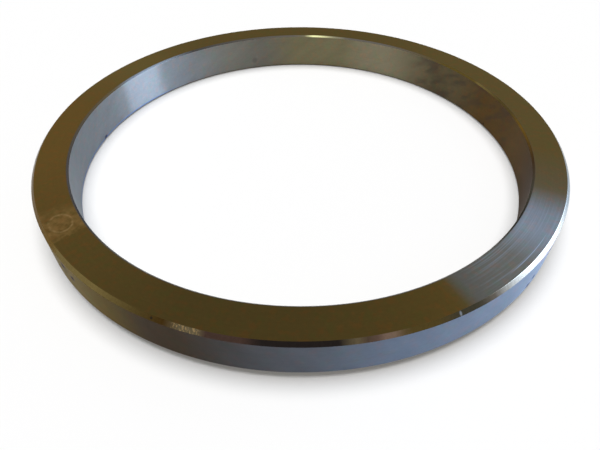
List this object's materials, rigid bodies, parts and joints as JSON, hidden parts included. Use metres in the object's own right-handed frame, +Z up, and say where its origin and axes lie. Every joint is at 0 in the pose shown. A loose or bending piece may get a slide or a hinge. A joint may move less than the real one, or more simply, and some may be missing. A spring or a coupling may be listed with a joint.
{
  "type": "seamless rolled ring",
  "caption": "Flat-lying forged steel ring of near-square section, machined all over, with chamfered rims and a plain bore.",
  "frame": {"origin": "centre of the lower face", "axes": "+Z up the ring's axis, from the lower face to the upper face"},
  "size_m": [0.45, 0.45, 0.037],
  "materials": {
    "turned_steel": "fine turned, lightly oiled and stained"
  },
  "bodies": {
    "root": {"ring": "turned_steel"}
  },
  "joints": []
}
